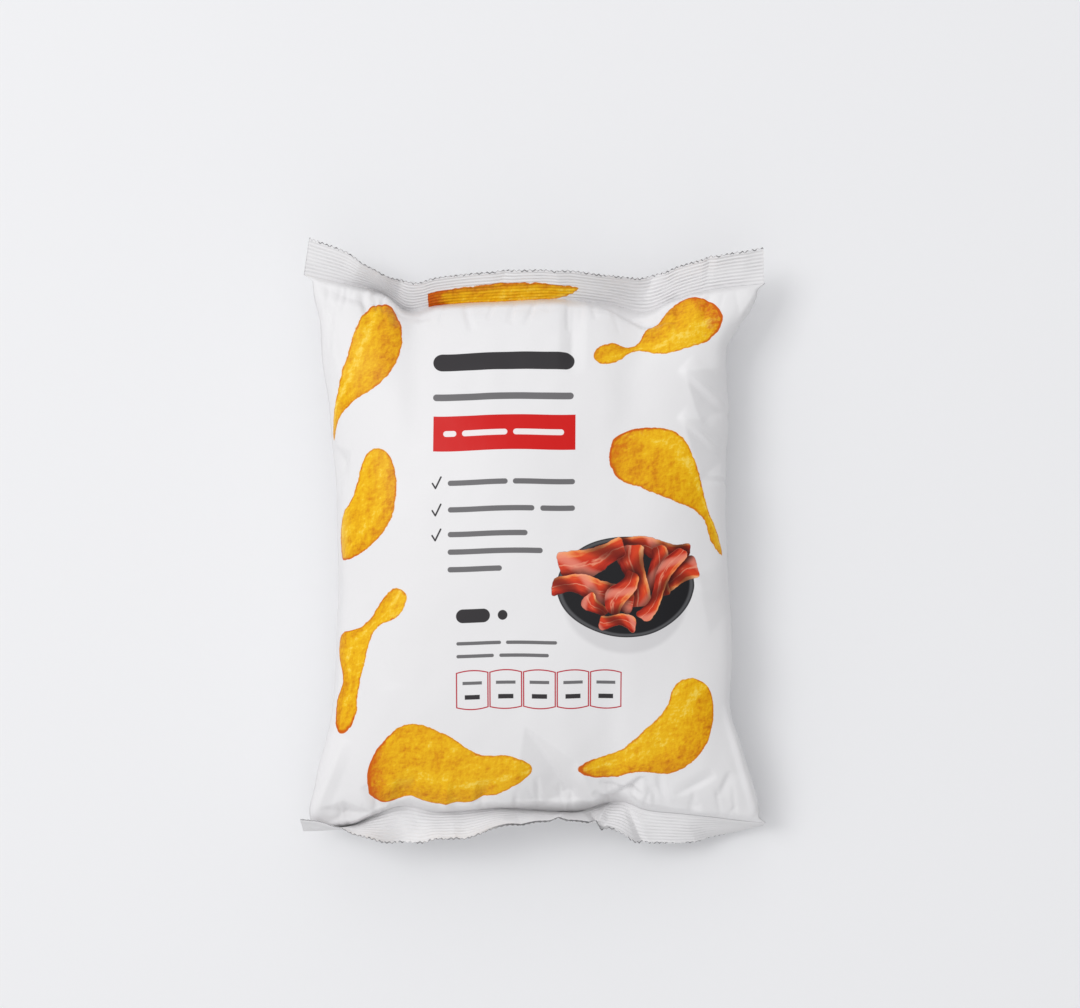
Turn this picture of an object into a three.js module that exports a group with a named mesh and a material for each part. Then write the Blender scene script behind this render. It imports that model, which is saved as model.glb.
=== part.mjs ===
// A sealed pillow bag of crisps that lies on its back, in millimetres.
//
// +X is to the right of the printed front, +Y towards the top seal and +Z away from the surface
// that the bag lies on. The origin is at the middle of the bag's outline, on that surface.
//
// One tube of plastic film is closed by a crimped band at the top and at the bottom and by a
// lengthwise lap seam down the back. It is shut, so it is one solid out to the film: a front and a
// back sheet over the same grid of film coordinates, joined round the rim. Film coordinates are
// u, from -1 at the left edge to 1 at the right, and v, from 0 at the bottom band to 1 at the top.
import * as THREE from 'three';

// Driving sizes of the flat bag
const filmWidth = 208;
const bodyLength = 250;
const bandHeight = 16;
const bandThickness = 0.8;
const ridgeCount = 7;
const ridgeDepth = 0.35;
const toothDepth = 0.9;

// Driving sizes of the filled bag
const crest = 61;
const equator = 29;
const sink = 5;
const floorRound = 1.6;
const waist = { left: 15.2, right: 16.6 };
const sectionPower = 2.4;
const corners = {
  bottomLeft: { reach: 32, power: 1.0 },
  topLeft: { reach: 30, power: 1.0 },
  bottomRight: { reach: 34, power: 1.5 },
  topRight: { reach: 24, power: 1.6 },
};

// Each band's inner edge, from left to right: across, along and up, then the lean of the band
// from lying flat outwards, 0, to standing straight up, 90 degrees
const topSeam = [
  [-98.7, 114.5, 27, 18],
  [-82.0, 111.0, 25, 34],
  [-66.0, 107.4, 19, 62],
  [-54.5, 100.4, 15, 48],
  [-43.0, 102.0, 18, 48],
  [-15.0, 103.0, 25, 42],
  [12.0, 104.0, 26, 45],
  [33.0, 102.4, 21, 45],
  [50.5, 100.2, 15, 28],
  [61.0, 104.7, 17, 34],
  [74.0, 108.0, 23, 36],
  [98.7, 110.6, 27, 22],
];
const bottomSeam = [
  [-100.2, -125.2, 14, 96],
  [-91.0, -125.0, 15, 93],
  [-81.0, -123.6, 18, 84],
  [-70.0, -119.0, 23, 62],
  [-56.0, -114.2, 27, 14],
  [-42.0, -117.2, 24, 50],
  [-32.0, -116.8, 25, 44],
  [-15.0, -115.4, 27, 56],
  [5.0, -116.8, 24, 68],
  [20.0, -117.2, 20, 66],
  [29.0, -115.0, 19, 34],
  [38.0, -112.8, 22, -14],
  [47.0, -115.6, 24, -40],
  [64.0, -117.6, 24, -42],
  [77.0, -119.2, 22, -58],
  [91.0, -121.2, 19, -74],
  [100.2, -122.2, 18, -84],
];

// Tucks: valleys that run into the body from where a band dips, at v 0 or 1
const tucks = [
  { u: -0.53, end: 1, spread: 0.1, reach: 15, depth: 7 },
  { u: 0.5, end: 1, spread: 0.12, reach: 16, depth: 6.5 },
  { u: 0.13, end: 1, spread: 0.07, reach: 18, depth: 3 },
  { u: -0.7, end: 0, spread: 0.1, reach: 12, depth: 4 },
  { u: 0.33, end: 0, spread: 0.12, reach: 16, depth: 7 },
  { u: -0.08, end: 0, spread: 0.1, reach: 20, depth: 3 },
];

// Creases on the front: a straight dent between two points of the film, in film millimetres
const creases = [
  { from: [66, 62], to: [86, 34], width: 7, depth: 3.2 },
  { from: [98, 84], to: [80, 62], width: 6, depth: -2.4 },
  { from: [90, 20], to: [96, -30], width: 9, depth: 2.4 },
  { from: [-86, 26], to: [-97, -4], width: 8, depth: 2.0 },
  { from: [62, -94], to: [90, -104], width: 7, depth: 3.0 },
  { from: [0, -84], to: [-20, -112], width: 8, depth: 3.2 },
  { from: [0, -84], to: [24, -112], width: 8, depth: -2.2 },
];

// The lap seam on the back: a flat strip of doubled film beside the middle of the back, whose free
// edge shows as a fine groove
const lap = { left: -5, width: 13, groove: 1.2, step: 0.5 };

// Grid of the solid
const columnCount = 36;
const rowCount = 36;
const toothCount = 72;

/** Cubic curve through knots, whose first entry is the place and the rest the values. */
function smoothThrough(knots, s) {
  const last = knots.length - 1;
  let i = 0;
  while (i < last - 1 && s > knots[i + 1][0]) i += 1;
  const slope = (n, c) => {
    const a = knots[Math.max(n - 1, 0)];
    const b = knots[Math.min(n + 1, last)];
    return (b[c] - a[c]) / (b[0] - a[0]);
  };
  const h = knots[i + 1][0] - knots[i][0];
  const t = (s - knots[i][0]) / h;
  const t2 = t * t;
  const t3 = t2 * t;
  return knots[i].slice(1).map((p, c) => (
    (2 * t3 - 3 * t2 + 1) * p
    + (t3 - 2 * t2 + t) * h * slope(i, c + 1)
    + (3 * t2 - 2 * t3) * knots[i + 1][c + 1]
    + (t3 - t2) * h * slope(i + 1, c + 1)
  ));
}

/** A seam's knots with their film coordinate u in front, which is their share of its length. */
function alongFilm(seam) {
  const run = [0];
  for (let i = 1; i < seam.length; i += 1) {
    const [x0, y0, z0] = seam[i - 1];
    const [x1, y1, z1] = seam[i];
    run.push(run[i - 1] + Math.hypot(x1 - x0, y1 - y0, z1 - z0));
  }
  return seam.map((knot, i) => [(2 * run[i]) / run[seam.length - 1] - 1, ...knot]);
}

/** Points at even steps along the upper half of the filled bag's cross-section, as unit shares. */
function evenSection() {
  const fine = 720;
  const points = [];
  for (let i = 0; i <= fine; i += 1) {
    const turn = (Math.PI * i) / fine - Math.PI / 2;
    points.push([
      Math.sign(turn) * Math.abs(Math.sin(turn)) ** (2 / sectionPower),
      Math.abs(Math.cos(turn)) ** (2 / sectionPower),
    ]);
  }
  const half = filmWidth / 2 - waist.left;
  const run = [0];
  for (let i = 1; i <= fine; i += 1) {
    const dx = (points[i][0] - points[i - 1][0]) * half;
    const dz = (points[i][1] - points[i - 1][1]) * (crest - equator);
    run.push(run[i - 1] + Math.hypot(dx, dz));
  }
  return points.map((point, i) => [(2 * run[i]) / run[fine] - 1, ...point]);
}

const topKnots = alongFilm(topSeam);
const bottomKnots = alongFilm(bottomSeam);
const section = evenSection();

const mix = (a, b, t) => a + (b - a) * t;
const bell = (t) => Math.exp(-t * t);

/** Straight-line look-up in the cross-section's points. */
function sectionAt(u) {
  let low = 0;
  let high = section.length - 1;
  while (high - low > 1) {
    const middle = (low + high) >> 1;
    if (section[middle][0] <= u) low = middle;
    else high = middle;
  }
  const t = (u - section[low][0]) / (section[high][0] - section[low][0]);
  return [mix(section[low][1], section[high][1], t), mix(section[low][2], section[high][2], t)];
}

/** How far the side has pulled in at v, from 0 at both bands to 1 at the waist. */
function pulledIn(u, v) {
  const [low, high] = u < 0
    ? [corners.bottomLeft, corners.topLeft]
    : [corners.bottomRight, corners.topRight];
  const rise = (distance, corner) => 1 - Math.exp(-((distance / corner.reach) ** corner.power));
  return rise(v * bodyLength, low) * rise((1 - v) * bodyLength, high);
}

/** How deep the tucks and creases are at a point of the front sheet. */
function dentAt(u, v) {
  let dent = 0;
  for (const tuck of tucks) {
    const distance = Math.abs(v - tuck.end) * bodyLength;
    const share = distance / tuck.reach;
    dent += tuck.depth * bell((u - tuck.u) / tuck.spread) * share * Math.exp(1 - share);
  }
  const x = (u * filmWidth) / 2;
  const y = (v - 0.5) * bodyLength;
  for (const { from, to, width, depth } of creases) {
    const [dx, dy] = [to[0] - from[0], to[1] - from[1]];
    const along = ((x - from[0]) * dx + (y - from[1]) * dy) / (dx * dx + dy * dy);
    const nearest = Math.min(Math.max(along, 0), 1);
    const away = Math.hypot(x - from[0] - nearest * dx, y - from[1] - nearest * dy);
    dent += depth * bell(away / width);
  }
  return dent;
}

/** Height above the floor once a sagging sheet has met it: exactly 0 where it lies flat. */
function onFloor(z) {
  if (z <= -floorRound) return 0;
  if (z >= floorRound) return z;
  return (z + floorRound) ** 2 / (4 * floorRound);
}

/** How much the film is lifted off the floor beside the lap seam's free edge. */
function besideLap(u) {
  const away = Math.abs((u * filmWidth) / 2 - lap.left - lap.width - lap.groove / 2);
  return lap.step * Math.max(0, 1 - (2 * away) / lap.groove);
}

/** A point of the body, between the bands: side is 1 on the front and -1 on the back. */
function bodyPoint(side, u, v) {
  const low = smoothThrough(bottomKnots, u);
  const high = smoothThrough(topKnots, u);
  const along = v - (0.14 * Math.sin(2 * Math.PI * v)) / (2 * Math.PI);
  const open = (1 - Math.abs(2 * v - 1) ** 2.2) ** 0.65;
  const inset = (u < 0 ? waist.left : waist.right) * pulledIn(u, v);
  const half = filmWidth / 2 - 4;
  const [across, up] = sectionAt(u);
  const x = mix(mix(low[0], high[0], along), across * half, open) * (1 - inset / half);
  const y = mix(low[1], high[1], along);
  const level = mix(mix(low[2], high[2], along), equator, open);
  if (side > 0) {
    const edge = 1 - Math.abs(u) ** 6;
    const z = level + (crest - equator) * open * up - dentAt(u, v) * edge + bandThickness / 2;
    return [x, y, z];
  }
  const z = level - (equator + sink) * open * up - bandThickness / 2;
  return [x, y, onFloor(z) + besideLap(u) * open];
}

/**
 * A point of a band: a height from its seam towards the cut edge, and its ridge's offset. At the
 * seam itself its thickness faces halfway between the body and the band.
 */
function bandPoint(side, end, u, height, ridge) {
  const [x, y, z, lean] = smoothThrough(end ? topKnots : bottomKnots, u);
  const out = end ? 1 : -1;
  const turn = (lean * Math.PI) / 180;
  const facing = height > 0 ? turn : turn / 2;
  const off = ridge + (side * bandThickness) / 2;
  return [
    x,
    y + out * (height * Math.cos(turn) - off * Math.sin(facing)),
    z + height * Math.sin(turn) + off * Math.cos(facing),
  ];
}

/** Film columns: even steps, and three more for the groove beside the lap seam. */
function filmColumns() {
  const even = Array.from({ length: columnCount + 1 }, (_, i) => (2 * i) / columnCount - 1);
  const groove = [0, 0.5, 1].map((share) => lap.left + lap.width + lap.groove * share);
  return [...even, ...groove.map((x) => (2 * x) / filmWidth)].sort((a, b) => a - b);
}

const positions = [];
const triangles = [];

/** Adds a row of points, one at each place, and returns the row. */
function addRow(places, pointAt) {
  return { places, ids: places.map((place, i) => positions.push(...pointAt(place, i)) / 3 - 1) };
}

/** Fills the strip between two rows with triangles that face up, 1, or down, -1. */
function addStrip(low, high, facing) {
  let i = 0;
  let j = 0;
  const next = (row, n) => (
    n < row.ids.length - 1 ? (row.places[n] + row.places[n + 1]) / 2 : Infinity
  );
  while (i + j < low.ids.length + high.ids.length - 2) {
    const onLow = next(low, i) <= next(high, j);
    const corner = onLow ? low.ids[i + 1] : high.ids[j + 1];
    const [a, b, c] = [low.ids[i], corner, high.ids[j]];
    triangles.push(...(facing > 0 ? [a, b, c] : [a, c, b]));
    if (onLow) i += 1;
    else j += 1;
  }
}

/** The rows of one band from its seam to its toothed cut edge. */
function bandRows(side, end, columns) {
  const rows = [addRow(columns, (u) => bandPoint(side, end, u, 0, 0))];
  const ridged = bandHeight - toothDepth * 2.4;
  for (let j = 1; j < ridgeCount * 2; j += 1) {
    const height = (ridged * j) / (ridgeCount * 2 - 1);
    const ridge = j % 2 ? -ridgeDepth : ridgeDepth;
    rows.push(addRow(columns, (u) => bandPoint(side, end, u, height, ridge)));
  }
  const teeth = Array.from({ length: toothCount * 2 + 1 }, (_, k) => k / toothCount - 1);
  rows.push(addRow(teeth, (u, k) => (
    bandPoint(side, end, u, bandHeight - (k % 2 ? 0 : toothDepth), 0)
  )));
  return rows;
}

/** One side of the bag: its rows from the bottom cut edge to the top one, joined up. */
function sheet(side) {
  const columns = filmColumns();
  const body = [];
  for (let j = 1; j < rowCount; j += 1) {
    body.push(addRow(columns, (u) => bodyPoint(side, u, j / rowCount)));
  }
  const rows = [...bandRows(side, 0, columns).reverse(), ...body, ...bandRows(side, 1, columns)];
  rows.slice(1).forEach((row, j) => addStrip(rows[j], row, side));
  return rows;
}

/** A long edge of a sheet as a row of its own: pick is 0 for the left edge and -1 for the right. */
function longEdge(rows, pick) {
  return { places: rows.map((_, j) => j), ids: rows.map((row) => row.ids.at(pick)) };
}

/** The closed surface of the whole bag. */
function bagGeometry() {
  const front = sheet(1);
  const back = sheet(-1);
  addStrip(front.at(0), back.at(0), -1);
  addStrip(front.at(-1), back.at(-1), 1);
  addStrip(longEdge(front, 0), longEdge(back, 0), 1);
  addStrip(longEdge(front, -1), longEdge(back, -1), -1);

  const geometry = new THREE.BufferGeometry();
  geometry.setAttribute('position', new THREE.Float32BufferAttribute(positions, 3));
  geometry.setIndex(triangles);
  return geometry;
}

/** Moves the outline's middle to the origin, and leaves the height as it is. */
function centred(geometry) {
  geometry.computeBoundingBox();
  const middle = geometry.boundingBox.getCenter(new THREE.Vector3());
  return geometry.translate(-middle.x, -middle.y, 0);
}

const film = new THREE.MeshStandardMaterial({ color: 0xeceaec, roughness: 0.45, metalness: 0 });
const geometry = centred(bagGeometry());
geometry.computeVertexNormals();
const bag = new THREE.Mesh(geometry, film);
bag.name = 'bag';

const model = new THREE.Group();
model.add(bag);

export default model;
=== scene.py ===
"""A filled bag of crisps lying on its back, seen from straight above.

Lengths are written in millimetres and turned into metres where a mesh is made.
"""
import math

import bpy
import numpy as np
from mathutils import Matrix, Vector


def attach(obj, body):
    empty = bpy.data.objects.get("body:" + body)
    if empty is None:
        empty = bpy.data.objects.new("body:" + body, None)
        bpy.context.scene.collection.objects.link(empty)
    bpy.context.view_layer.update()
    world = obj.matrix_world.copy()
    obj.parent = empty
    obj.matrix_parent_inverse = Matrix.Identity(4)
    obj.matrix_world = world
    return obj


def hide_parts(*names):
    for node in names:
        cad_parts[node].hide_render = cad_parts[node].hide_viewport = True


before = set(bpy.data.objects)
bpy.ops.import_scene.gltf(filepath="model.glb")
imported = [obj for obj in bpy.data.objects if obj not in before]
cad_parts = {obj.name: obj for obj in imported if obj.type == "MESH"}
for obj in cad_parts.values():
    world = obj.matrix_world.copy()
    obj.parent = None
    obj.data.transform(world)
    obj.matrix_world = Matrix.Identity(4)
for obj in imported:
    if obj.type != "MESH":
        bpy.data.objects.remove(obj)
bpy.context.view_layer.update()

# The bag's body: one tube of thin white plastic film, laid flat and shut across both ends, then
# filled with gas and crisps. It is cut flat, puffed up as cloth that can't stretch, pressed on
# the table, and then given the creases that the film takes where it has too much width.
MM = 0.001
LITRE = 0.001
FILM_WIDTH = 208.0
BODY_LENGTH = 250.0
WAIST_PULL = 0.16
MIDDLE_HEIGHT = 31
HALF_HEIGHT = 29

# Each end seal's inner edge from left to right: across, along and up, then the lean of the band
# beyond it, from lying flat outwards, 0, to standing straight up, 90 degrees
TOP_SEAM = np.array([
    (-98.7, 114.5, 27, 18), (-82.0, 111.0, 25, 34), (-66.0, 107.4, 19, 62),
    (-54.5, 100.4, 15, 48), (-43.0, 102.0, 18, 48), (-15.0, 103.0, 25, 42),
    (12.0, 104.0, 26, 45), (33.0, 102.4, 21, 45), (50.5, 100.2, 15, 28),
    (61.0, 104.7, 17, 34), (74.0, 108.0, 23, 36), (98.7, 110.6, 27, 22),
])
BOTTOM_SEAM = np.array([
    (-100.2, -126.2, 14, 116), (-91.0, -125.8, 15, 110), (-81.0, -124.0, 18, 90),
    (-70.0, -119.0, 23, 60), (-56.0, -114.2, 27, 14), (-42.0, -117.2, 24, 50),
    (-32.0, -116.8, 25, 46), (-15.0, -115.4, 27, 66), (5.0, -116.8, 24, 80),
    (20.0, -117.2, 20, 80), (29.0, -115.0, 19, 62), (38.0, -112.8, 22, 34),
    (47.0, -115.6, 24, -12), (64.0, -117.6, 24, -30), (77.0, -119.2, 22, -50),
    (91.0, -121.2, 19, -68), (100.2, -122.2, 18, -80),
])


def smooth_through(places, values, s):
    """A cubic through values at places: each span's end slopes are the mean slopes round it."""
    slopes = np.gradient(values, places, axis=0)
    i = np.clip(np.searchsorted(places, s, side="right") - 1, 0, len(places) - 2)
    spread = s.shape + (1,) * (values.ndim - 1)
    h = (places[i + 1] - places[i]).reshape(spread)
    t = (s - places[i]).reshape(spread) / h
    return ((2 * t**3 - 3 * t**2 + 1) * values[i] + (t**3 - 2 * t**2 + t) * h * slopes[i]
            + (3 * t**2 - 2 * t**3) * values[i + 1] + (t**3 - t**2) * h * slopes[i + 1])


def seam_at(seam, u):
    """Place and lean of a seam at film columns u, from -1 to 1: u is the share of its length."""
    run = np.append(0, np.cumsum(np.linalg.norm(np.diff(seam[:, :3], axis=0), axis=1)))
    return smooth_through(run / run[-1] * 2 - 1, seam, u)


def puffed(side, u, v):
    """The start shape of one sheet, the front for side 1 and the back for side -1: straight from
    seam to seam, then pulled in at the waist and arched by an ellipse along and across."""
    low, high = seam_at(BOTTOM_SEAM, u)[..., :3], seam_at(TOP_SEAM, u)[..., :3]
    sheet = (1 - v)[..., None] * low + v[..., None] * high
    arch = np.sqrt(1 - (2 * v - 1) ** 2)
    sheet[..., 0] *= 1 - WAIST_PULL * arch**0.7
    level = sheet[..., 2] + (MIDDLE_HEIGHT - sheet[..., 2]) * arch**0.6
    sheet[..., 2] = np.maximum(level + side * HALF_HEIGHT * arch * np.sqrt(1 - u**2), 1)
    return sheet


def grid_faces(ids, flipped=False):
    """Four-sided faces between the rows and columns of a grid of point numbers."""
    faces = np.stack([ids[:-1, :-1], ids[:-1, 1:], ids[1:, 1:], ids[1:, :-1]], -1).reshape(-1, 4)
    return faces[:, ::-1] if flipped else faces


def film_object(name, points, faces):
    """A mesh object at the origin from points in millimetres and lists of point numbers."""
    mesh = bpy.data.meshes.new(name)
    mesh.from_pydata((points * MM).tolist(), [], [tuple(face) for face in faces.tolist()])
    mesh.update()
    mesh.shade_smooth()
    piece = bpy.data.objects.new(name, mesh)
    bpy.context.scene.collection.objects.link(piece)
    return piece


def square(half):
    """The four corners of a level square at height 0, from half its side."""
    return np.array([(-half, -half, 0), (half, -half, 0), (half, half, 0), (-half, half, 0)], float)


CLOTH_GAP = 0.005


def inflated(front, back, flat, litres=1.42, frames=40, scale=10):
    """Both sheets after gas has filled them: cloth, made larger by the scale, whose rest shape is
    the flat film, whose seams are held, and whose pressure falls as it nears the given volume."""
    rows, columns = front.shape[:2]
    front_ids = np.arange(rows * columns).reshape(rows, columns)
    inner = (slice(1, -1), slice(1, -1))
    back_ids = front_ids.copy()
    back_ids[inner] = (np.arange(rows * columns, 2 * rows * columns - 2 * (rows + columns) + 4)
                       .reshape(rows - 2, columns - 2))

    def joined(a, b):
        return np.concatenate([a.reshape(-1, 3), b[inner].reshape(-1, 3)]) * scale

    faces = np.concatenate([grid_faces(front_ids), grid_faces(back_ids, True)])
    film = film_object("film_being_filled", joined(front, back), faces)
    film.shape_key_add(name="Basis")
    rest = film.shape_key_add(name="flat")
    rest.data.foreach_set("co", (joined(flat, flat) * MM).ravel())
    rest.value = 0
    held = film.vertex_groups.new(name="held")
    held.add(np.concatenate([front_ids[0], front_ids[-1]]).tolist(), 1, "REPLACE")
    cloth = film.modifiers.new("cloth", "CLOTH")
    settings = {
        "quality": 10, "mass": 0.3, "air_damping": 2, "tension_stiffness": 400,
        "compression_stiffness": 400, "shear_stiffness": 200, "bending_stiffness": 0.02,
        "tension_damping": 10, "compression_damping": 10, "shear_damping": 10,
        "bending_damping": 1, "vertex_group_mass": "held", "rest_shape_key": rest,
        "use_pressure": True, "uniform_pressure_force": 0, "use_pressure_volume": True,
        "target_volume": litres * LITRE * scale**3, "pressure_factor": 5,
    }
    for key, value in settings.items():
        setattr(cloth.settings, key, value)
    cloth.settings.effector_weights.gravity = 0
    cloth.collision_settings.distance_min = CLOTH_GAP

    table = film_object("table_below_film", square(300) * scale, np.array([[0, 1, 2, 3]]))
    table.modifiers.new("stop", "COLLISION")
    table.collision.thickness_outer = CLOTH_GAP
    for step in range(1, frames + 1):
        bpy.context.scene.frame_set(step)
    shown = film.evaluated_get(bpy.context.evaluated_depsgraph_get()).data
    points = np.empty(len(shown.vertices) * 3)
    shown.vertices.foreach_get("co", points)
    points = points.reshape(-1, 3) / scale / MM
    bpy.context.scene.frame_set(1)
    for helper in (film, table):
        bpy.data.meshes.remove(helper.data)
    return points[front_ids], points[back_ids]


CELL = 3.1
coarse_u = np.linspace(-1, 1, int(FILM_WIDTH / CELL) + 1)
coarse_v = np.linspace(0, 1, int(BODY_LENGTH / CELL) + 1)
U, V = np.meshgrid(coarse_u, coarse_v)
front, back = puffed(1, U, V), puffed(-1, U, V)
flat_film = np.stack([U * FILM_WIDTH / 2, (V - 0.5) * BODY_LENGTH, U * 0], -1)
front, back = inflated(front, back, flat_film)

# Finer rows and columns for the creases, closer together near both seams
FRONT_COLUMNS = 256
BACK_COLUMNS = 112
ROWS = 262
ROW_CROWDING = 0.40
t = np.linspace(0, 1, ROWS + 1)
v = t - ROW_CROWDING * np.sin(2 * np.pi * t) / (2 * np.pi)


def finer(sheet, columns):
    """The sheet at the finer rows and at a number of columns, by cubics along both, with the
    columns and rows themselves."""
    by_row = smooth_through(coarse_v, sheet, v)
    u = np.linspace(-1, 1, columns + 1)
    return smooth_through(coarse_u, by_row.swapaxes(0, 1), u).swapaxes(0, 1), *np.meshgrid(u, v)


# The bag lies with its back pressed flat on the table. Its long sides are not quite even: each is
# held out or pulled in along its length, and turns sharply where the film folds at the corners.
SINK = 4.6
RISE = 1.2
WIDENING = 0.012
SHIFT_LEFT = 1.0
FLOOR_ROUND = 1.6
LEFT_TRIM = np.array([
    (-126, 0), (-115.6, -3.5), (-104.8, -3.1), (-89, -1.4), (-78.7, -0.4), (-64, 0.2), (-42.7, 0.2),
    (-8.8, 0.5), (28.7, 0.3), (43, -1.0), (57.5, -1.6), (75, -3.1), (94, -2.4), (103.6, -2.9),
    (111, -1.8), (115, 0),
])
RIGHT_TRIM = np.array([
    (-123, 0), (-115, 4.6), (-98.1, 4.2), (-84, 1.4), (-76, -1.1), (-51.2, 0.1), (-29.2, 1.4),
    (-14.2, 0.6), (27.3, -0.6), (52.6, -1.1), (66.0, -2.4), (76.8, -4.3), (81.8, -4.8),
    (90.8, -1.6), (98.6, 2.7), (109.3, 1.6), (111.5, 0),
])


def settled(sheet, U, V, up):
    """The sheet where the bag is open: a little wider, moved to the left and up or down, and moved
    across by its side's trim. The move up or down fades towards the side, the trim away from it."""
    x, y, z = np.moveaxis(sheet, -1, 0)
    openness = (1 - np.abs(2 * V - 1) ** 2.2) ** 0.5
    trim = np.where(U < 0, smooth_through(LEFT_TRIM[:, 0], LEFT_TRIM[:, 1], y),
                    smooth_through(RIGHT_TRIM[:, 0], RIGHT_TRIM[:, 1], y))
    x = x * (1 + WIDENING * openness) - SHIFT_LEFT * openness + trim * np.abs(U) ** 5
    return np.stack([x, y, z + up * openness * (1 - np.abs(U) ** 8)], -1)


def on_table(z):
    """Height of a sagging sheet that meets the table in a short smooth curve: exactly 0 on it."""
    return np.where(z > FLOOR_ROUND, z, np.maximum(z + FLOOR_ROUND, 0) ** 2 / (4 * FLOOR_ROUND))


front = settled(*finer(front, FRONT_COLUMNS), RISE)
back = settled(*finer(back, BACK_COLUMNS), -SINK)
back[..., 2] = on_table(back[..., 2])

# Each seam is tucked in deeper than the cloth leaves it, where its band stands up: (centre and
# width as shares of half the seam, depth)
TOP_TUCKS = [(-0.60, 0.10, 3.2), (0.42, 0.14, 2.8)]
BOTTOM_TUCKS = [(-0.55, 0.16, 2.8), (-0.12, 0.24, 4.0), (0.33, 0.10, 3.8)]
TUCK_REACH = 5.0


def tucked(tucks, u):
    """Depth of a seam's tucks: a sum of bell curves."""
    return sum(deep * np.exp(-((u - centre) / width) ** 2) for centre, width, deep in tucks)


for sheet in (front, back):
    columns_u = np.linspace(-1, 1, sheet.shape[1])
    for tucks, share in ((BOTTOM_TUCKS, v), (TOP_TUCKS, 1 - v)):
        near = np.maximum(1 - share * BODY_LENGTH / TUCK_REACH, 0) ** 1.3
        sheet[..., 2] -= near[:, None] * tucked(tucks, columns_u)

# The body as one tube: its columns run from the middle of the back to the left side, across the
# front and round the right side. SPREAD is the plan position with the back unrolled beyond each
# side, so that a crease can run over the side.
LEFT_SIDE = BACK_COLUMNS // 2
MIDDLE = LEFT_SIDE + FRONT_COLUMNS // 2
RIGHT_SIDE = LEFT_SIDE + FRONT_COLUMNS
TUBE_COLUMNS = FRONT_COLUMNS + BACK_COLUMNS
tube = np.concatenate([back[:, LEFT_SIDE:0:-1], front, back[:, -2:LEFT_SIDE:-1]], 1)
TUBE_V = np.repeat(v[:, None], TUBE_COLUMNS, 1)
SPREAD = tube[..., 0].copy()
SPREAD[:, :LEFT_SIDE] = 2 * tube[:, LEFT_SIDE, None, 0] - tube[:, :LEFT_SIDE, 0]
SPREAD[:, RIGHT_SIDE + 1:] = 2 * tube[:, RIGHT_SIDE, None, 0] - tube[:, RIGHT_SIDE + 1:, 0]
ALONG = tube[..., 1].copy()


def averaged(steps, rows, columns):
    """Running means over a window of rows and columns, with the end values carried on."""
    for axis, reach in ((0, rows), (1, columns)):
        pad = [(0, 0), (0, 0)]
        pad[axis] = (reach + 1, reach)
        total = np.cumsum(np.pad(steps, pad, "edge"), axis)
        steps = (np.take(total, np.arange(2 * reach + 1, total.shape[axis]), axis)
                 - np.take(total, np.arange(total.shape[axis] - 2 * reach - 1), axis)
                 ) / (2 * reach + 1)
    return steps


# Place on the flat film, for the print: the plan position, plus how much longer the film is than
# its plan, averaged so that straight print stays straight. It counts from the front's middle
# column and row, the first column is given twice where the map is cut on the back, and both seams
# lie at half the body's length.
closed = np.concatenate([tube, tube[:, :1]], 1)
closed_spread = np.concatenate([SPREAD, 2 * tube[:, RIGHT_SIDE, None, 0] - tube[:, :1, 0]], 1)
film_across = np.insert(np.cumsum(np.linalg.norm(np.diff(closed, axis=1), axis=-1), 1), 0, 0, 1)
film_across -= film_across[:, MIDDLE, None]
film_across = closed_spread + averaged(film_across - closed_spread, rows=14, columns=6)
film_along = np.insert(np.cumsum(np.linalg.norm(np.diff(closed, axis=0), axis=-1), 0), 0, 0, 0)
film_along -= film_along[ROWS // 2]
film_along = closed[..., 1] + averaged(film_along - closed[..., 1], rows=10, columns=20)
# From 84 mm to 124 mm from the middle row, the map is drawn towards its place at the seam
near_seam = np.clip(np.abs(film_along) / 40 - 2.1, 0, 1) ** 2
film_along += near_seam * np.where(film_along < 0, -BODY_LENGTH / 2 - film_along[:1],
                                   BODY_LENGTH / 2 - film_along[-1:])


def normals_of(tube):
    """Unit normals: the cross product of the steps round the tube and along it."""
    across = np.roll(tube, -1, 1) - np.roll(tube, 1, 1)
    n = np.cross(across, np.gradient(tube, axis=0))
    return n / np.maximum(np.linalg.norm(n, axis=-1, keepdims=True), 1e-9)


def soft_least(a, b, k):
    """The smaller of two values, blended where they differ by less than k."""
    h = np.clip(0.5 + 0.5 * (b - a) / k, 0, 1)
    return b + (a - b) * h - k * h * (1 - h)


def facets(x, y, corners, apex, depth, softness=0.07):
    """A dent with flat facets: its depth grows in a straight line from each edge to the apex, so
    that a crease runs from the apex to each corner, blended by the softness. A depth below 0
    gives a bump."""
    share = np.ones_like(x)
    for (x0, y0), (x1, y1) in zip(corners, corners[1:] + corners[:1]):
        inward = (x1 - x0) * (y - y0) - (y1 - y0) * (x - x0)
        full = (x1 - x0) * (apex[1] - y0) - (y1 - y0) * (apex[0] - x0)
        share = soft_least(share, inward / full, softness)
    return depth * np.maximum(share + softness / 4, 0)


def crease(x, y, start, end, width, depth, bow=0.0):
    """A fold line: a tent across its width, bowed to one side and fading to nothing at its ends.
    A pair of widths gives its left and right side, seen from its start, a slope each. A depth
    above 0 gives a valley and one below 0 a ridge."""
    left_width, right_width = width if isinstance(width, tuple) else (width, width)
    dx, dy = end[0] - start[0], end[1] - start[1]
    length = math.hypot(dx, dy)
    along = ((x - start[0]) * dx + (y - start[1]) * dy) / length**2
    middle = np.clip(along, 0, 1)
    away = ((x - start[0]) * dy - (y - start[1]) * dx) / length - bow * 4 * middle * (1 - middle)
    width = np.where(away < 0, left_width, right_width)
    tent = np.maximum(1 - np.sqrt((away / width) ** 2 + 0.004), 0) ** 1.3
    return depth * tent * np.where((along > 0) & (along < 1), 4 * middle * (1 - middle), 0) ** 0.6


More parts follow.
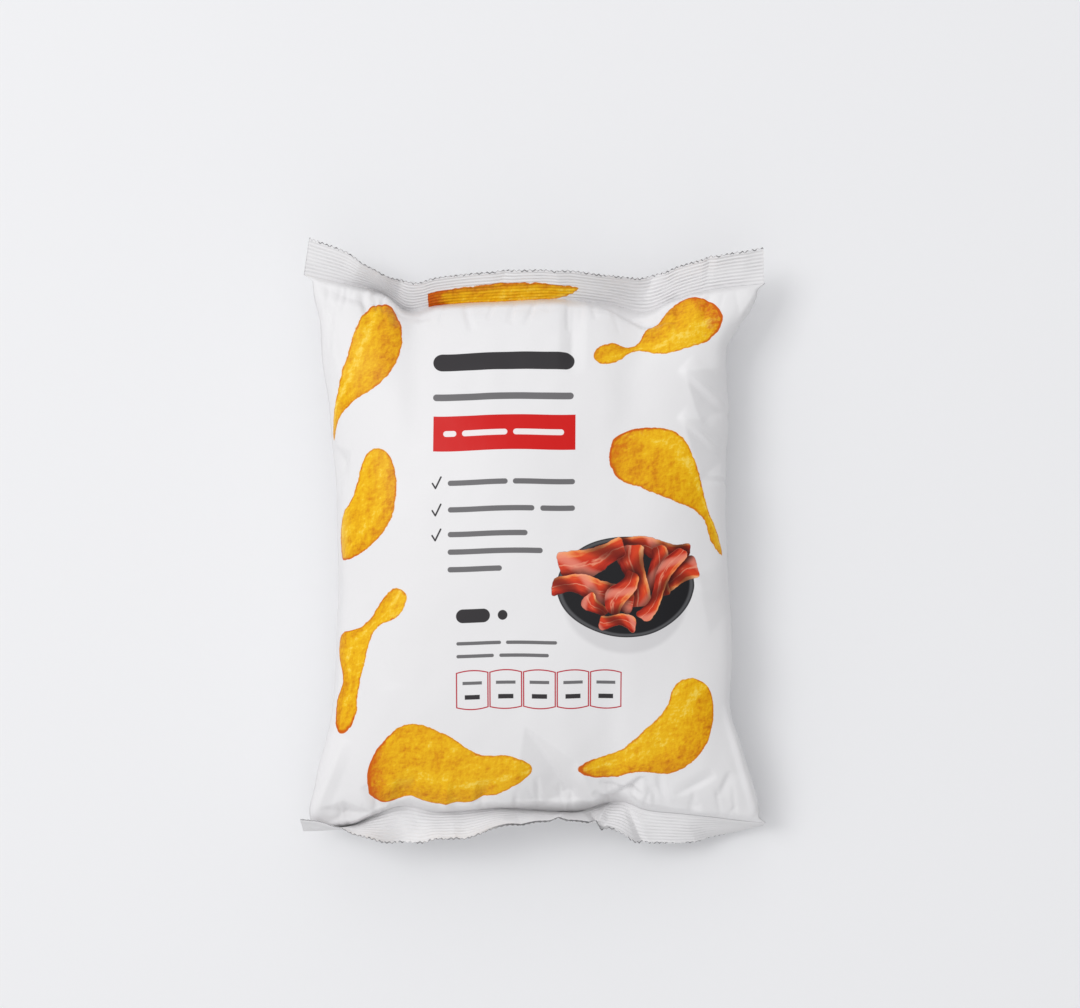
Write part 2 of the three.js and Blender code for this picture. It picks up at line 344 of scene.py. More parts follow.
FRONT_FACETS = [
    # The left side, above its middle and at its top
    ([(-84.8, 41.0), (-83.5, 18.6), (-78.1, 26.3), (-76.7, 37.3)], (-80.9, 33.2), 2.4),
    ([(-91.1, 103.8), (-87.6, 78.7), (-84.7, 80.6), (-84.5, 100.5)], (-87.0, 93.6), 2.2),
    # The tuck that runs up from the bottom seam, and the crumpled film on both sides of it
    ([(-3.4, -78.0), (-9.5, -119.0), (29.0, -119.0), (17.5, -92.9)], (15.5, -110.0), 7.5),
    ([(64.5, -117.5), (71.5, -111.5), (79.0, -117.5)], (71.5, -116.0), -1.6, 0.05),
    ([(47.0, -99.0), (24.9, -111.0), (26.0, -117.5), (44.0, -113.4)], (32.0, -112.6), 4.4, 0.03),
    ([(-91.1, -114.1), (-89.8, -122.1), (-78.1, -121.9), (-70.0, -115.9), (-80.6, -110.8)],
     (-80.9, -117.4), 3.0),
    ([(-62.1, -113.6), (-46.2, -113.6), (-50.3, -101.0), (-58.8, -101.1)], (-54.7, -108.9), 3.0),
    ([(-27.2, -113.0), (-14.5, -113.4), (-17.8, -101.1), (-23.6, -101.2)], (-21.2, -108.6), 2.8),
    # The dips beside the top seam
    ([(24.0, 103.0), (46.0, 90.0), (60.0, 93.0), (56.0, 103.0)], (47.0, 95.0), 3.8, 0.03),
    ([(-70.0, 108.0), (-60.0, 90.0), (-44.0, 94.0), (-42.0, 102.5)], (-56.5, 98.0), 3.4, 0.03),
]
FRONT_CREASES = [
    # Valleys that run in from the dips of the top seam
    ((17.0, 106.0), (15.9, 70.0), 6.0, 2.2, 0.0),
    ((22.0, 102.6), (54.0, 90.0), 5.0, 2.4, -1.5),
    ((-93.0, 110.0), (-60.0, 100.0), 4.0, 2.2, 1.0),
    # Ridges of the folded corners on the right
    ((99.5, 113.5), (80.5, 76.0), 1.8, -0.7, 1.5),
    ((80.5, -70.0), (98.0, -124.0), 3.0, -1.4, 0.0),
    # Slanting folds that stand out on the right side, steeper on their lower left
    ((62.0, 73.0), (83.0, 54.5), (9.0, 2.8), -3.2, 0.0),
    ((61.0, 52.5), (79.0, 37.5), (7.0, 2.4), -2.6, 0.0),
    ((66.0, -19.0), (80.0, -24.0), (6.0, 3.0), -0.9, 0.0),
    # A valley across the right side, and a long shallow one on the left
    ((69.0, 25.6), (86.0, 25.2), 1.8, 1.4, 0.0),
    ((-67.5, -26.0), (-59.2, -62.0), 8.0, 1.0, 2.0),
    # Small folds along the bottom seam
    ((46.0, -100.0), (25.0, -117.0), (5.0, 2.4), 2.6, -1.0),
    ((60.0, -107.5), (77.0, -99.0), (5.0, 2.2), 1.3, 0.6),
    ((83.8, -98.0), (78.6, -109.5), (4.5, 2.4), 1.1, 0.0),
    ((46.0, -100.0), (56.0, -117.0), 3.0, 1.5, 0.0),
    ((-36.0, -100.0), (-38.0, -118.0), 3.0, -1.2, 0.0),
    ((-72.0, -104.0), (-64.0, -118.0), 3.4, 1.4, 0.0),
    ((25.0, -107.0), (43.0, -117.0), 2.4, 2.4, 0.0),
    ((28.0, -102.0), (47.0, -108.0), 2.2, 1.8, 1.0),
    ((36.0, -109.0), (62.0, -117.0), 2.2, 2.2, 1.0),
    ((53.0, -98.0), (58.0, -117.0), 2.6, 1.2, 1.0),
    # Small folds below the top seam
    ((-30.0, 103.0), (-26.0, 88.0), 2.6, 1.1, 0.0),
    ((-8.0, 104.0), (-11.0, 92.0), 2.2, 0.8, 0.0),
    ((64.0, 106.0), (60.0, 90.0), 2.8, 1.4, 1.0),
    ((76.0, 108.0), (72.0, 94.0), 2.4, 1.2, 0.0),
    ((-76.0, 110.0), (-70.0, 92.0), 3.0, 1.4, -1.0),
    # Folds down the left side, from its upper corner, at its middle and from its lower corner
    ((-93.0, 108.0), (-82.0, 66.0), 4.0, -1.4, -1.5),
    ((-80.0, 12.0), (-83.0, -30.0), 4.0, 0.8, 1.0),
    ((-96.0, -122.0), (-80.0, -84.0), 4.5, -2.0, 1.0),
]
# Flat faces that fall away to the right side and over it, made by lowering the film: two below
# the upper corner, one below the middle, and one at each folded corner
SIDE_FACES = [
    ([(63.9, 71.0), (67.4, 58.5), (70.5, 49.5), (84.0, 45.5), (104.0, 50.0), (104.0, 70.0),
      (84.0, 74.0)], (84.0, 58.5), 10.0, 0.02),
    ([(62.9, 50.5), (66.5, 38.0), (70.6, 26.0), (84.0, 24.5), (104.0, 28.0), (104.0, 50.0),
      (84.0, 52.5)], (84.5, 38.0), 10.0, 0.02),
    ([(69.5, -14.0), (72.0, -28.0), (74.5, -40.0), (84.0, -43.0), (100.0, -38.0), (100.0, -18.0),
      (84.0, -10.0)], (85.0, -25.0), 4.0, 0.02),
    ([(99.5, 113.5), (94.3, 105.5), (88.3, 97.2), (81.2, 82.0), (80.6, 76.0), (88.0, 72.0),
      (106.0, 92.0), (114.0, 108.0)], (93.5, 93.0), 10.0, 0.02),
    ([(81.0, -72.0), (92.0, -74.0), (105.0, -96.0), (110.0, -119.0), (99.0, -124.0),
      (90.5, -97.0)], (96.0, -99.0), 7.0, 0.02),
]
BACK_CREASES = [
    # The back, in its own plan position: pleats that fan out from the two seams
    ((-70.0, 104.0), (-52.0, 62.0), 7.0, 1.8, 3.0),
    ((-38.0, 101.0), (-30.0, 58.0), 6.0, 1.6, -2.0),
    ((44.0, 100.0), (34.0, 60.0), 6.0, 1.7, 2.0),
    ((74.0, 106.0), (55.0, 66.0), 7.0, 1.9, -3.0),
    ((-74.0, -118.0), (-54.0, -76.0), 7.0, 1.9, -3.0),
    ((-24.0, -114.0), (-20.0, -72.0), 5.0, 1.5, 1.0),
    ((38.0, -112.0), (30.0, -70.0), 6.0, 1.7, 2.0),
    ((72.0, -116.0), (56.0, -76.0), 7.0, 1.8, 2.0),
]

depth = np.zeros_like(SPREAD)
for spec in FRONT_FACETS:
    depth += facets(SPREAD, ALONG, *spec)
for spec in FRONT_CREASES:
    depth += crease(SPREAD, ALONG, *spec)
on_back = np.ones(TUBE_COLUMNS, bool)
on_back[LEFT_SIDE:RIGHT_SIDE + 1] = False
for spec in BACK_CREASES:
    depth += crease(tube[..., 0], ALONG, *spec) * on_back

# Short wrinkles across both long sides, deepest just below the side, at seeded places
chance = np.random.default_rng(7)
for side in (LEFT_SIDE, RIGHT_SIDE):
    way = -1 if side == LEFT_SIDE else 1
    level = -104.0
    while level < 100:
        level += chance.uniform(6, 15)
        place = float(np.interp(level, tube[:, side, 1], tube[:, side, 0]))
        tilt = chance.uniform(-7, 7)
        start = (place + way * chance.uniform(2, 6), level + tilt)
        end = (place + way * chance.uniform(18, 30), level - tilt)
        depth += crease(SPREAD, ALONG, start, end, chance.uniform(1.6, 4.2),
                        chance.uniform(0.4, 1.3), chance.uniform(-2, 2))

# The film is nowhere quite smooth: long low waves, and shorter ones towards the seams
for i in range(26):
    long_wave = i < 12
    turn = chance.uniform(0, math.pi)
    length = chance.uniform(34, 80) if long_wave else chance.uniform(11, 24)
    swell = np.sin((film_across[:, :-1] * math.cos(turn) + film_along[:, :-1] * math.sin(turn))
                   * 2 * math.pi / length + chance.uniform(0, 6.28))
    depth += swell * (0.11 if long_wave else 0.012 + 0.05 * np.abs(2 * TUBE_V - 1) ** 4)

# Gathers: short folds that run in from both seams at seeded places
for row, way in ((0, 1), (ROWS, -1)):
    for _ in range(30):
        x, y, _ = tube[row, chance.integers(LEFT_SIDE + 8, RIGHT_SIDE - 8)]
        end = (x + chance.uniform(-5, 5), y + way * chance.uniform(6, 17))
        depth += crease(SPREAD, ALONG, (x, y - way * 3), end, chance.uniform(0.9, 2.4),
                        chance.uniform(0.3, 1.0), chance.uniform(-1, 1))

fade = 1 - np.abs(2 * TUBE_V - 1) ** 24
tube -= normals_of(tube) * (depth * fade)[..., None]
for spec in SIDE_FACES:
    tube[..., 2] -= facets(SPREAD, ALONG, *spec) * fade
tube[..., 2] = np.maximum(tube[..., 2], 0)

# The lap seam: where the film's two edges meet along the back, one is laid over the other and
# sealed, a flat ribbed strip. The film behind it is pressed in a little further than that.
LAP_LEFT = -5.0
LAP_WIDTH = 13.0
LAP_THICKNESS = 0.45
LAP_COLUMNS = 52
PRESSED_SOFT = 2.5
PRESSED_EXTRA = 0.1
RIB_HEIGHT = 0.06
RIB_PITCH = 1.3
STRIP_SUNK = 0.08
STRIP_CLEARANCE = 0.02


def window(x, low, high, soft):
    """1 between low and high, falling to 0 over the length soft beyond each."""
    return np.clip((x - low) / soft + 1, 0, 1) * np.clip((high - x) / soft + 1, 0, 1)


pressed = window(film_across[:, :-1] + np.where(np.arange(TUBE_COLUMNS) < LEFT_SIDE,
                                                 -film_across[:, :1], -film_across[:, -1:]),
                 -LAP_LEFT - LAP_WIDTH, -LAP_LEFT, PRESSED_SOFT) * on_back * fade
tube += -normals_of(tube) * (pressed * (LAP_THICKNESS + PRESSED_EXTRA))[..., None]
LAP_REACH = 12
middle = np.concatenate([tube[:, -LAP_REACH:], tube[:, :LAP_REACH + 1]], 1)
run = np.insert(np.cumsum(np.linalg.norm(np.diff(middle, axis=1), axis=-1), 1), 0, 0, 1)
run -= run[:, LAP_REACH, None]
shares = np.linspace(0, 1, LAP_COLUMNS + 1)


def strip_row(run_row, row):
    """Places along one row of the back at the strip's columns, by length of film."""
    wanted = -(LAP_LEFT + LAP_WIDTH) + shares * LAP_WIDTH
    return np.stack([np.interp(wanted, run_row, row[:, i]) for i in range(3)], -1)


strip = np.stack([strip_row(run[i], middle[i]) for i in range(ROWS + 1)])
strip_normals = np.cross(np.gradient(strip, axis=1), np.gradient(strip, axis=0))
strip_normals /= np.linalg.norm(strip_normals, axis=-1, keepdims=True)
pressed_flat = 1 - np.abs(2 * v - 1) ** 40
raised = np.clip(shares * 26, 0, 1) * np.clip((1 - shares) * 12, 0, 1)
raised = raised[None] * pressed_flat[:, None]
ribs = RIB_HEIGHT * np.sin(2 * np.pi * shares * LAP_WIDTH / RIB_PITCH)[None] * raised
strip = strip + strip_normals * (raised * LAP_THICKNESS + ribs - STRIP_SUNK)[..., None]
strip[..., 2] = np.maximum(strip[..., 2], STRIP_CLEARANCE)


def lay_out_print(piece, across, along, corners):
    """Writes the UV map: each face corner's place on the flat film, in metres."""
    layer = piece.data.uv_layers.new(name="film")
    flat = np.stack([across.ravel(), along.ravel()], -1)
    layer.data.foreach_set("uv", (flat[corners.ravel()] * MM).ravel())


# Across the film, beyond the printed front: the lap seam's place, and how far on a band's back is
PLAIN_FILM = 200.0
BAND_BACK = 400
tube_ids = np.arange(TUBE_V.size).reshape(TUBE_V.shape)
body = film_object("bag_body", tube.reshape(-1, 3),
                   grid_faces(np.concatenate([tube_ids, tube_ids[:, :1]], 1)))
lay_out_print(body, film_across, film_along,
              grid_faces(np.arange(film_across.size).reshape(film_across.shape)))
strip_ids = np.arange(strip[..., 0].size).reshape(strip.shape[:2])
lap_seam = film_object("lap_seam", strip.reshape(-1, 3), grid_faces(strip_ids))
lay_out_print(lap_seam, np.full(strip.shape[:2], PLAIN_FILM), strip[..., 1], grid_faces(strip_ids))

# Crimped bands: beyond each seam the front and back film are pressed together between hot ridged
# jaws, into a flat band with fine ridges along it, and cut off with a row of small teeth. Each
# leans up or down and waves as its seam does.
BAND_HEIGHT = 16.0
BAND_THICKNESS = 0.35
RIDGE_PITCH = 1.6
RIDGE_DEPTH = 0.4
TOOTH_PITCH = 2.3
TOOTH_DEPTH = 1.0
BAND_COLUMNS = 416
BAND_ROWS = 40


def band_piece(name, seam, out, folds, end_slants):
    """One band: from its seam, a straight height along its lean, plus ridges across its face; the
    cut edge is a zigzag. Folds (where on the seam and how far on at the cut edge as u, width in
    u, depth) are tents that run from the seam to the cut edge and deepen towards it, and the end
    slants are how far the cut edge's two ends are drawn in."""
    row = -1 if out > 0 else 0
    seam_across = film_across[row, LEFT_SIDE:RIGHT_SIDE + 1]
    seam_along = film_along[row, LEFT_SIDE:RIGHT_SIDE + 1]
    front_u = np.linspace(-1, 1, FRONT_COLUMNS + 1)
    bu, bh = np.meshgrid(np.linspace(-1, 1, BAND_COLUMNS + 1), np.linspace(0, 1, BAND_ROWS + 1))
    x, y, z, lean = np.moveaxis(seam_at(seam, bu), -1, 0)
    z = z - tucked(TOP_TUCKS if out > 0 else BOTTOM_TUCKS, bu)
    fold = sum(deep * np.maximum(1 - np.abs(bu - c - slant * bh) / w, 0) ** 1.2 * (0.25 + bh)
               for c, slant, w, deep in folds)
    place = smooth_through(front_u, seam_across, bu)
    tooth = np.abs((place / TOOTH_PITCH) % 1 - 0.5) * 2
    height = bh * BAND_HEIGHT - TOOTH_DEPTH * tooth * np.maximum(bh * 8 - 7, 0)
    turn = np.radians(lean)
    faded = np.clip(bh * 12, 0, 1) * np.clip((1 - bh) * 14, 0, 1)
    faded_in = np.clip(bh * 6, 0, 1) * (1 - np.abs(bu) ** 20)
    uneven = 0.72 + 0.28 * np.sin(place * 0.31 + 2 * np.sin(place * 0.11)) * np.sin(height * 0.6)
    ridge = RIDGE_DEPTH * np.sin(2 * np.pi * height / RIDGE_PITCH) * faded * uneven
    drawn_in = np.where(bu < 0, end_slants[0], -end_slants[1]) * bh * np.abs(bu) ** 12
    sheets = []
    for side in (1, -1):
        off = ridge + fold * faded_in + side * BAND_THICKNESS / 2
        facing = turn * np.clip(0.5 + bh * 6, 0, 1)
        sheets.append(np.stack([
            x + drawn_in,
            y + out * (height * np.cos(turn) - off * np.sin(facing)),
            z + height * np.sin(turn) + off * np.cos(facing),
        ], -1))
    ids = np.arange(bu.size).reshape(bu.shape)
    rim = np.concatenate([ids[0], ids[1:, -1], ids[-1, -2::-1], ids[-2::-1, 0]])
    rim_faces = grid_faces(np.stack([rim, rim + bu.size]))
    faces = np.concatenate([
        grid_faces(ids, out < 0), grid_faces(ids + bu.size, out > 0),
        rim_faces[:, ::-1] if out < 0 else rim_faces,
    ])
    piece = film_object(name, np.concatenate([s.reshape(-1, 3) for s in sheets]), faces)
    beyond = out * height + smooth_through(front_u, seam_along, bu)
    lay_out_print(piece, np.stack([place, place + BAND_BACK]), np.stack([beyond, beyond]), faces)
    cut_edge = piece.data.attributes.new("cut_edge", "FLOAT", "POINT")
    cut_edge.data.foreach_set("value", np.tile(bh.ravel(), 2))
    return piece


TOP_FOLDS = [
    (-0.80, 0.05, 0.06, 1.0), (-0.60, 0.04, 0.07, -1.4), (-0.44, -0.03, 0.05, 0.7),
    (-0.16, 0.05, 0.05, -0.7), (0.13, -0.04, 0.06, 0.8), (0.46, 0.06, 0.07, -1.4),
    (0.60, -0.03, 0.04, 0.8), (0.76, 0.01, 0.03, -1.1), (0.90, 0.03, 0.05, 0.6),
]
BOTTOM_FOLDS = [
    (-0.78, -0.04, 0.05, 0.9), (-0.50, 0.05, 0.06, -1.0), (-0.34, 0.03, 0.05, 0.8),
    (-0.08, 0.04, 0.06, -0.8), (0.14, -0.03, 0.04, 1.2), (0.24, 0.05, 0.035, -2.2),
    (0.33, -0.06, 0.03, 2.4), (0.41, 0.07, 0.035, -2.2), (0.66, 0.05, 0.06, 0.8),
]
top_band = band_piece("top_band", TOP_SEAM, 1, TOP_FOLDS, (2.8, 0.8))
bottom_band = band_piece("bottom_band", BOTTOM_SEAM, -1, BOTTOM_FOLDS, (0, 0))

for piece in (body, lap_seam, top_band, bottom_band):
    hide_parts("bag")
    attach(piece, "root")

# The film: white plastic with a satin gloss, printed in flat colours before it is sealed. The
# print is laid out in millimetres on the flat film: golden crisps scattered round the front, an
# oval dark plate of rashers, a red bar, and rounded bars and boxes where a packet has its words.


class Value:
    """The output of a node, which takes part in sums: each operator adds one Math node."""

    def __init__(self, print_nodes, socket):
        self.nodes, self.socket = print_nodes, socket

    def math(self, operation, first, second=0.0):
        return self.nodes.add("ShaderNodeMath", {"operation": operation}, {0: first, 1: second})

    def __add__(self, other):
        return self.math("ADD", self, other)

    def __sub__(self, other):
        return self.math("SUBTRACT", self, other)

    def __rsub__(self, other):
        return self.math("SUBTRACT", other, self)

    def __mul__(self, other):
        return self.math("MULTIPLY", self, other)

    def __truediv__(self, other):
        return self.math("DIVIDE", self, other)

    def __abs__(self):
        return self.math("ABSOLUTE", self)

    __radd__ = __add__
    __rmul__ = __mul__

    def least(self, other):
        return self.math("MINIMUM", self, other)

    def most(self, other):
        return self.math("MAXIMUM", self, other)

    def wave(self):
        return self.math("SINE", self)

    def root(self):
        return self.math("SQRT", self)

    def soft_least(self, other, reach):
        """The smaller of two values, rounded off over a reach."""
        return self.nodes.add("ShaderNodeMath", {"operation": "SMOOTH_MIN"},
                              {0: self, 1: other, 2: reach})

    def rise(self, low, high):
        """0 below low, 1 above high, and a smooth S between them; falls if high is less."""
        return self.nodes.add("ShaderNodeMapRange", {"interpolation_type": "SMOOTHSTEP"},
                              {"Value": self, "From Min": low, "From Max": high})


class PrintNodes:
    """Adds nodes to one material."""

    def __init__(self, material):
        self.tree = material.node_tree

    def add(self, kind, settings, inputs, output=0):
        """A node: its settings first, with curve points or ramp stops, then its sockets."""
        node = self.tree.nodes.new(kind)
        for name, value in settings.items():
            if name == "points":
                curve = node.mapping.curves[0]
                for place in value[1:-1]:
                    curve.points.new(*place)
                curve.points[0].location, curve.points[-1].location = value[0], value[-1]
                node.mapping.update()
            elif name == "stops":
                for _ in value[2:]:
                    node.color_ramp.elements.new(0.5)
                for element, (place, colour) in zip(node.color_ramp.elements, value):
                    element.position, element.color = place, (*colour, 1)
            else:
                setattr(node, name, value)
        for name, value in inputs.items():
            if isinstance(value, Value):
                self.tree.links.new(value.socket, node.inputs[name])
            else:
                node.inputs[name].default_value = value
        return Value(self, node.outputs[output])

    def mottle(self, size, detail=2.0, seed=0.0):
        """Cloudy noise from 0 to 1 on the film, with spots of a size in millimetres."""
        moved = self.add("ShaderNodeVectorMath", {"operation": "ADD"},
                         {0: self.film, 1: (seed, seed * 0.7, 0)})
        return self.add("ShaderNodeTexNoise", {"noise_dimensions": "2D"},
                        {"Vector": moved, "Scale": 1 / (size * MM), "Detail": detail})

    def embossed(self, size, detail, seed=0.0):
        """Bumps as if lit from the upper left: noise, less the same noise 6 % of its spots' size
        nearer to that corner."""
        way = size * MM * 0.06
        nearer = self.add("ShaderNodeVectorMath", {"operation": "ADD"},
                          {0: self.film, 1: (seed - way, seed * 0.7 + way, 0)})
        return self.mottle(size, detail, seed) - self.add(
            "ShaderNodeTexNoise", {"noise_dimensions": "2D"},
            {"Vector": nearer, "Scale": 1 / (size * MM), "Detail": detail})

    def over(self, below, above, mask):
        """A colour printed over another where the mask is 1."""
        above = above if isinstance(above, Value) else (*above, 1)
        below = below if isinstance(below, Value) else (*below, 1)
        return self.add("ShaderNodeMix", {"data_type": "RGBA"}, {0: mask, 6: below, 7: above}, 2)


film = bpy.data.materials.new("printed_film")
film.use_nodes = True
nodes = PrintNodes(film)
nodes.film = nodes.add("ShaderNodeUVMap", {"uv_map": "film"}, {})
print_x = nodes.add("ShaderNodeSeparateXYZ", {}, {0: nodes.film}, 0) * (1 / MM)
print_y = nodes.add("ShaderNodeSeparateXYZ", {}, {0: nodes.film}, 1) * (1 / MM)


def from_line(start, end):
    """Of the straight line from start to end: its length, the share of it that a place on the film
    lies along it, and how far that place is to its left."""
    length = math.dist(start, end)
    ux, uy = (end[0] - start[0]) / length, (end[1] - start[1]) / length
    beyond_x, beyond_y = print_x - start[0], print_y - start[1]
    share = (beyond_x * ux + beyond_y * uy) / length
    return length, share, beyond_y * ux - beyond_x * uy


# Crisps: where each starts and ends on the film, how far it reaches to the left and to the right
# of that line at STATIONS along it, how its light changes across and along it, where along it is
# toasted, with how far and how much, where across it a bright fold runs, and how round its ends are
STATIONS = (0, 0.15, 0.3, 0.5, 0.7, 0.85, 1)
REACH = 30.0
CRISPS = [
    ((-64, 115), (-94, 48), (4, 13, 18, 17, 8, 3, 1), (0, -5, -5, -3, -2, -3, -1),
     (-0.25, 0.25), (0.0, 0.25, 0.8), 0.25, 6.0),
    ((-64, 45), (-86, -3), (4, 11, 15, 17, 14, 9, -1), (-3, -6, -5, -5, -9, -9, -5),
     (-0.3, 0.1), (1.0, 0.3, 0.5), 0.65, 6.0),
    ((-54, -14), (-83, -77), (3.5, 3.5, -4, -3, -1, 2, 0), (-4, -7, -10, -22, -11, -12, -5),
     (0.3, -0.2), (1.0, 0.25, 0.7), 0.5, 6.0),
    ((26, 84), (82, 109), (2.5, 4.5, -0.5, 7, 11, 14.5, 2), (-3, -5, -3.5, -11, -14, -14, -7),
     (-0.35, 0.1), (0.95, 0.22, 0.9), 0.3, 6.0),
    ((31, 45), (90, -2), (8, 21, 25, 19, 9, 5, 1), (4, -6, -3, 1, 4, -1, 0),
     (0.2, 0.15), (0.05, 0.22, 0.7), 0.78, 6.0),
    ((-72, -93), (1, -92), (1, 16, 22, 18, 8, 7, 2), (-12, -19, -19, -19, -17, -11, -3),
     (0.1, 0.15), (0.0, 0.25, 1.0), 0.4, 5.0),
    ((19, -92), (74, -51), (1, -1, -4, -3, -1, 4, -3), (-4, -14, -17, -27, -27, -22, -10),
     (0.35, 0.0), (0.0, 0.22, 0.7), 0.62, 6.0),
    ((-46.5, 128.8), (20, 130), (4.2, 4.3, 4.2, 4.0, 3.4, 2.6, 1.6),
     (-4.4, -5.2, -5.2, -6.2, -6.4, -5.6, 0), (-0.5, 0.2), (0.0, 0.2, 1.35), 0.6, 1.0),
]
ragged = (nodes.mottle(3.0, 3) - 0.5) * 1.3
cloudy, grainy = nodes.mottle(6.5, 3, 0.1), nodes.mottle(1.6, 3, 0.2)
bumpy = nodes.embossed(5.0, 3.0, 0.3)
on_crisp, crisp_light, crisp_toast = None, None, None
for start, end, left, right, light, toast, fold, end_round in CRISPS:
    length, share, off = from_line(start, end)
    off = off + ragged
    sides = [(nodes.add("ShaderNodeFloatCurve", {"points": [
        (s, 0.5 + reach / REACH / 2) for s, reach in zip(STATIONS, side)]}, {"Value": share})
        - 0.5) * (2 * REACH) for side in (left, right)]
    inside = (sides[0] - off).soft_least(off - sides[1], 1.5)
    inside = inside.soft_least((0.5 - abs(share - 0.5)) * length + ragged * 0.5, end_round)
    here = inside.rise(0.0, 0.35)
    across = (off - sides[1]) / (sides[0] - sides[1]).most(1.0)
    lit = (across - 0.5) * light[0] + (share - 0.5) * light[1]
    lit = lit + abs(across + ragged * 0.07 - fold).rise(0.16, 0.0) * 0.16
    burnt = abs(share - toast[0]).rise(toast[1], 0.0) * toast[2]
    burnt = burnt + inside.rise(2.2, 0.2) * 0.85
    if on_crisp is None:
        on_crisp, crisp_light, crisp_toast = here, lit * here, burnt * here
    else:
        on_crisp = on_crisp.most(here)
        crisp_light, crisp_toast = crisp_light + lit * here, crisp_toast + burnt * here
tone = 0.52 + crisp_light * 1.3 + (cloudy - 0.5) * 0.55 + (grainy - 0.5) * 0.5 + bumpy * 1.9
golden = nodes.add("ShaderNodeValToRGB", {"stops": [
    (0.0, (0.52, 0.15, 0.0)), (0.25, (0.70, 0.27, 0.0)), (0.5, (0.82, 0.41, 0.001)),
    (0.75, (0.90, 0.52, 0.006)), (1.0, (0.96, 0.67, 0.09))]}, {0: tone})
toasted = (crisp_toast + (cloudy - 0.5) * 0.7 + (grainy - 0.5) * 0.9 - bumpy).rise(0.32, 1.25)
golden = nodes.over(golden, (0.62, 0.115, 0.0), toasted)

# The plate of rashers: wavy ribbons laid over each other, each with its start, end, half width,
# number of waves and where its waves begin. Each shades the ones below it round its edge.
PLATE = (41.0, -12.6)
PLATE_HALF = (30.0, 21.0)
SWING = 1.5
RASHER_ROUND = 2.2
RASHERS = [
    ((73, -6), (54, -12), 5.2, 0.8, 0.6), ((35, 5.5), (69, 0.5), 4.8, 1.3, 2.0),
    ((53, 4), (57, -17), 5.0, 0.9, 4.0), ((43, 5), (45, -21), 6.8, 0.8, 1.0),
    ((22, -14), (44, -18), 5.0, 0.8, 2.8), ((12, -5), (40, 3), 6.4, 0.9, 5.4),
    ((9, -12), (34, -14), 5.4, 1.0, 2.4), ((24, -16), (31, -25), 3.8, 0.7, 0.3),
    ((43, -6), (34, -24), 4.8, 1.0, 3.5), ((65, 2.5), (47, -26), 3.8, 1.2, 5.2),
    ((29, -26), (45, -28.5), 3.6, 0.9, 1.2),
]
on_rasher, rasher_place, rasher_swing, rasher_lit = None, None, None, None
for start, end, half_width, waves, phase in RASHERS:
    length, share, off = from_line(start, end)
    swing = share * (2 * math.pi * waves) + phase
    off = off + swing.wave() * SWING + ragged * 0.7
    half = half_width * (0.84 + (swing + 0.8).wave() * 0.16)
    past_side = (abs(off) - half + RASHER_ROUND).most(0.0)
    past_end = ((abs(share - 0.5) - 0.5) * length + RASHER_ROUND + ragged * 0.6).most(0.0)
    inside = RASHER_ROUND - (past_side * past_side + past_end * past_end).root()
    here, shade = inside.rise(0.0, 0.3), inside.rise(-3.6, 0.3) * 0.72
    place = off / (half * 2) + 0.5
    if on_rasher is None:
        on_rasher, rasher_place, rasher_swing, rasher_lit = here, place, swing, here
    else:
        on_rasher = on_rasher.most(here)
        rasher_place = rasher_place + (place - rasher_place) * here
        rasher_swing = rasher_swing + (swing - rasher_swing) * here
        rasher_lit = rasher_lit - rasher_lit * shade
        rasher_lit = rasher_lit + (1 - rasher_lit) * here
grain_place = nodes.add("ShaderNodeCombineXYZ", {},
                        {0: rasher_swing * 0.55, 1: rasher_place * 6.0})
streaky = nodes.add("ShaderNodeTexNoise", {"noise_dimensions": "2D"},
                    {"Vector": grain_place, "Scale": 1.0, "Detail": 3.0})
meat = nodes.add("ShaderNodeValToRGB", {"stops": [
    (0.0, (0.12, 0.006, 0.003)), (0.07, (0.34, 0.014, 0.006)), (0.26, (0.56, 0.036, 0.014)),
    (0.40, (0.68, 0.060, 0.02)), (0.46, (0.84, 0.30, 0.18)), (0.53, (0.60, 0.036, 0.014)),
    (0.80, (0.74, 0.068, 0.016)), (0.90, (0.90, 0.28, 0.08)), (1.0, (0.95, 0.46, 0.22))]},
    {0: rasher_place + (streaky - 0.5) * 0.42})
rasher_fold = (rasher_swing + rasher_place * 2.4).wave()
meat = nodes.over(meat, (0.10, 0.006, 0.003), rasher_fold.rise(-0.15, -1.2) * 0.85)
meat = nodes.over(meat, (0.93, 0.36, 0.26), rasher_fold.rise(0.5, 1.1) * 0.6)
meat = nodes.over((0.022, 0.002, 0.002), meat, rasher_lit)


def oval(centre, across, along):
    """How far inside an oval, from 1 at its centre to 0 on its edge and less outside."""
    far_x, far_y = (print_x - centre[0]) / across, (print_y - centre[1]) / along
    return 1 - (far_x * far_x + far_y * far_y).root()


plate_inside = oval(PLATE, *PLATE_HALF)
plate_shade = oval((PLATE[0], PLATE[1] - 8.0), 27.5, 20.5)
plate_colour = nodes.over((0.012, 0.012, 0.014), (0.09, 0.09, 0.095),
                          plate_inside.rise(0.09, 0.05) * plate_inside.rise(0.0, 0.04))


def bar(low_x, high_x, middle_y, half_height):
    """How far inside a bar with round ends."""
    half = (high_x - low_x) / 2
    far_x = (abs(print_x - (low_x + half)) - (half - half_height)).most(0.0)
    far_y = print_y - middle_y
    return half_height - (far_x * far_x + far_y * far_y).root()


def stroke(start, end, half_width):
    """How far inside a short straight stroke with round ends."""
    dx, dy = end[0] - start[0], end[1] - start[1]
    far_x, far_y = print_x - start[0], print_y - start[1]
    share = ((far_x * dx + far_y * dy) / (dx * dx + dy * dy)).most(0.0).least(1.0)
    off_x, off_y = far_x - share * dx, far_y - share * dy
    return half_width - (off_x * off_x + off_y * off_y).root()


